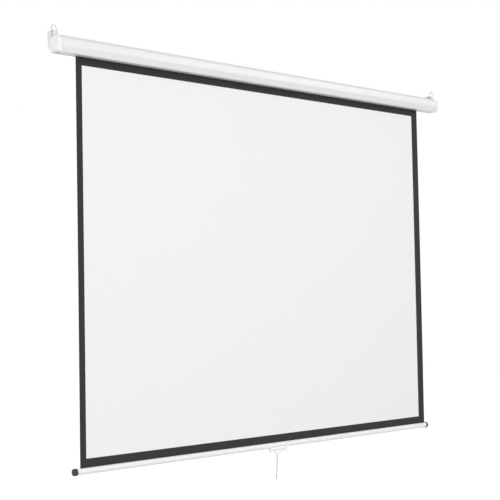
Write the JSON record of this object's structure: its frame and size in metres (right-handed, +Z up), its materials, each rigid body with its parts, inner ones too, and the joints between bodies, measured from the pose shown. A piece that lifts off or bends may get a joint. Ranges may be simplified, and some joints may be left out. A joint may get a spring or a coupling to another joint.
{
  "type": "pull-down projector screen",
  "caption": "Pull-down projector screen with a white faceted case, bordered fabric on a spring roller, round bottom bar, pull handle, cord and hanging rings.",
  "frame": {"origin": "on the wall plane, halfway along the case, 36 mm below the top of the wall brackets", "axes": "+X along the case to the right as seen by the audience, +Y into the wall, +Z up"},
  "size_m": [2.3512, 0.077, 1.866],
  "materials": {
    "white_paint": "satin powder coat",
    "white_plastic": "satin",
    "zinc_steel": "zinc plated",
    "bright_steel": "nickel plated wire",
    "spring_steel": "oiled",
    "grey_plastic": "moulded",
    "black_plastic": "satin",
    "screen_cloth": "matt white projection cloth with a printed black border",
    "cord": "braided"
  },
  "bodies": {
    "case": {"case": "white_paint", "left_end_cap": "white_plastic", "right_end_cap": "white_plastic", "left_bracket": "white_plastic", "right_bracket": "white_plastic", "left_bearing_plate": "zinc_steel", "right_bearing_plate": "zinc_steel", "left_lower_bracket_screw": "zinc_steel", "left_upper_bracket_screw": "zinc_steel", "right_lower_bracket_screw": "zinc_steel", "right_upper_bracket_screw": "zinc_steel", "pin_bush": "grey_plastic", "spring_shaft": "bright_steel", "ratchet_wheel": "zinc_steel", "spring_anchor": "zinc_steel", "torsion_spring": "spring_steel", "screen_fabric": "screen_cloth"},
    "roller": {"roller_tube": "zinc_steel", "left_roller_plug": "grey_plastic", "idle_pin": "bright_steel", "right_roller_plug": "grey_plastic", "shaft_support": "grey_plastic", "pawl_a_pin": "bright_steel", "pawl_b_pin": "bright_steel", "fabric_wrap": "screen_cloth"},
    "pawl_a": {"pawl_a": "zinc_steel"},
    "pawl_b": {"pawl_b": "zinc_steel"},
    "bottom_bar": {"bottom_bar": "white_paint", "left_bar_cap": "black_plastic", "right_bar_cap": "black_plastic", "hem_rod": "zinc_steel", "pull_handle": "white_plastic", "left_handle_screw": "zinc_steel", "right_handle_screw": "zinc_steel", "pull_cord": "cord"},
    "left_ring": {"left_hanging_ring": "bright_steel"},
    "right_ring": {"right_hanging_ring": "bright_steel"}
  },
  "joints": [
    {"name": "screen_drop", "type": "slide", "parent": "case", "child": "bottom_bar", "axis": [0, 0, 1], "range_m": [0, 1.585], "deforming": ["screen_fabric"]},
    {"name": "roller_spin", "type": "hinge", "parent": "case", "child": "roller", "pos_m": [0, -0.0505, -0.016], "axis": [1, 0, 0], "range_deg": [0, 4224]},
    {"name": "pawl_a_swing", "type": "hinge", "parent": "roller", "child": "pawl_a", "pos_m": [1.13075, -0.0505, -0.0018], "axis": [1, 0, 0], "range_deg": [-10, 0]},
    {"name": "pawl_b_swing", "type": "hinge", "parent": "roller", "child": "pawl_b", "pos_m": [1.13075, -0.0505, -0.0302], "axis": [1, 0, 0], "range_deg": [-10, 0]},
    {"name": "left_ring_swing", "type": "hinge", "parent": "case", "child": "left_ring", "pos_m": [-1.16065, -0.0355, 0.022], "axis": [1, 0, 0], "range_deg": [-30, 107]},
    {"name": "right_ring_swing", "type": "hinge", "parent": "case", "child": "right_ring", "pos_m": [1.16065, -0.0355, 0.022], "axis": [1, 0, 0], "range_deg": [-42, 95]}
  ],
  "couplings": [
    {"joint": "roller_spin", "follows": "screen_drop", "rad_per_m": 46.5}
  ]
}
